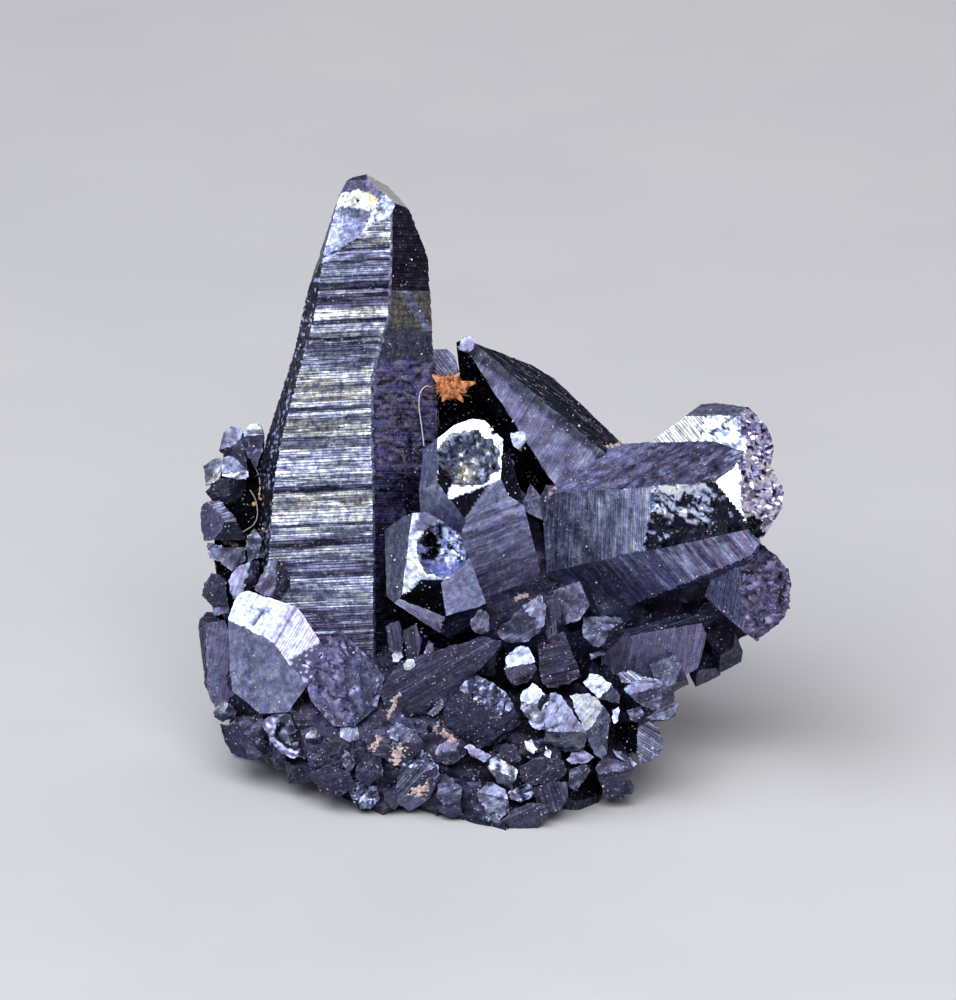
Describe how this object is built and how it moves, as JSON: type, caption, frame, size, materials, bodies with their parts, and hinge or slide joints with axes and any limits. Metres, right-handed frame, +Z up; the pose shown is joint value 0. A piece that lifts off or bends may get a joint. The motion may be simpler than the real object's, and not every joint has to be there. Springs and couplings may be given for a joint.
{
  "type": "hematite crystal group",
  "caption": "A group of steel-grey hematite crystals grown together, with a tall striated spire, blunt prisms and a field of small crystals, resting on a flat cut foot.",
  "frame": {"origin": "middle of the bounding box in plan, on the flat cut foot it rests on", "axes": "+Z up as it rests, -Y towards the side with the broad striated face of the spire, +X to that side's right"},
  "size_m": [0.0298, 0.0192, 0.0284],
  "materials": {
    "hematite": "satin",
    "rust_lint": "matte"
  },
  "bodies": {
    "root": {"hematite_cluster": "hematite", "rust_tuft": "rust_lint"}
  },
  "joints": []
}
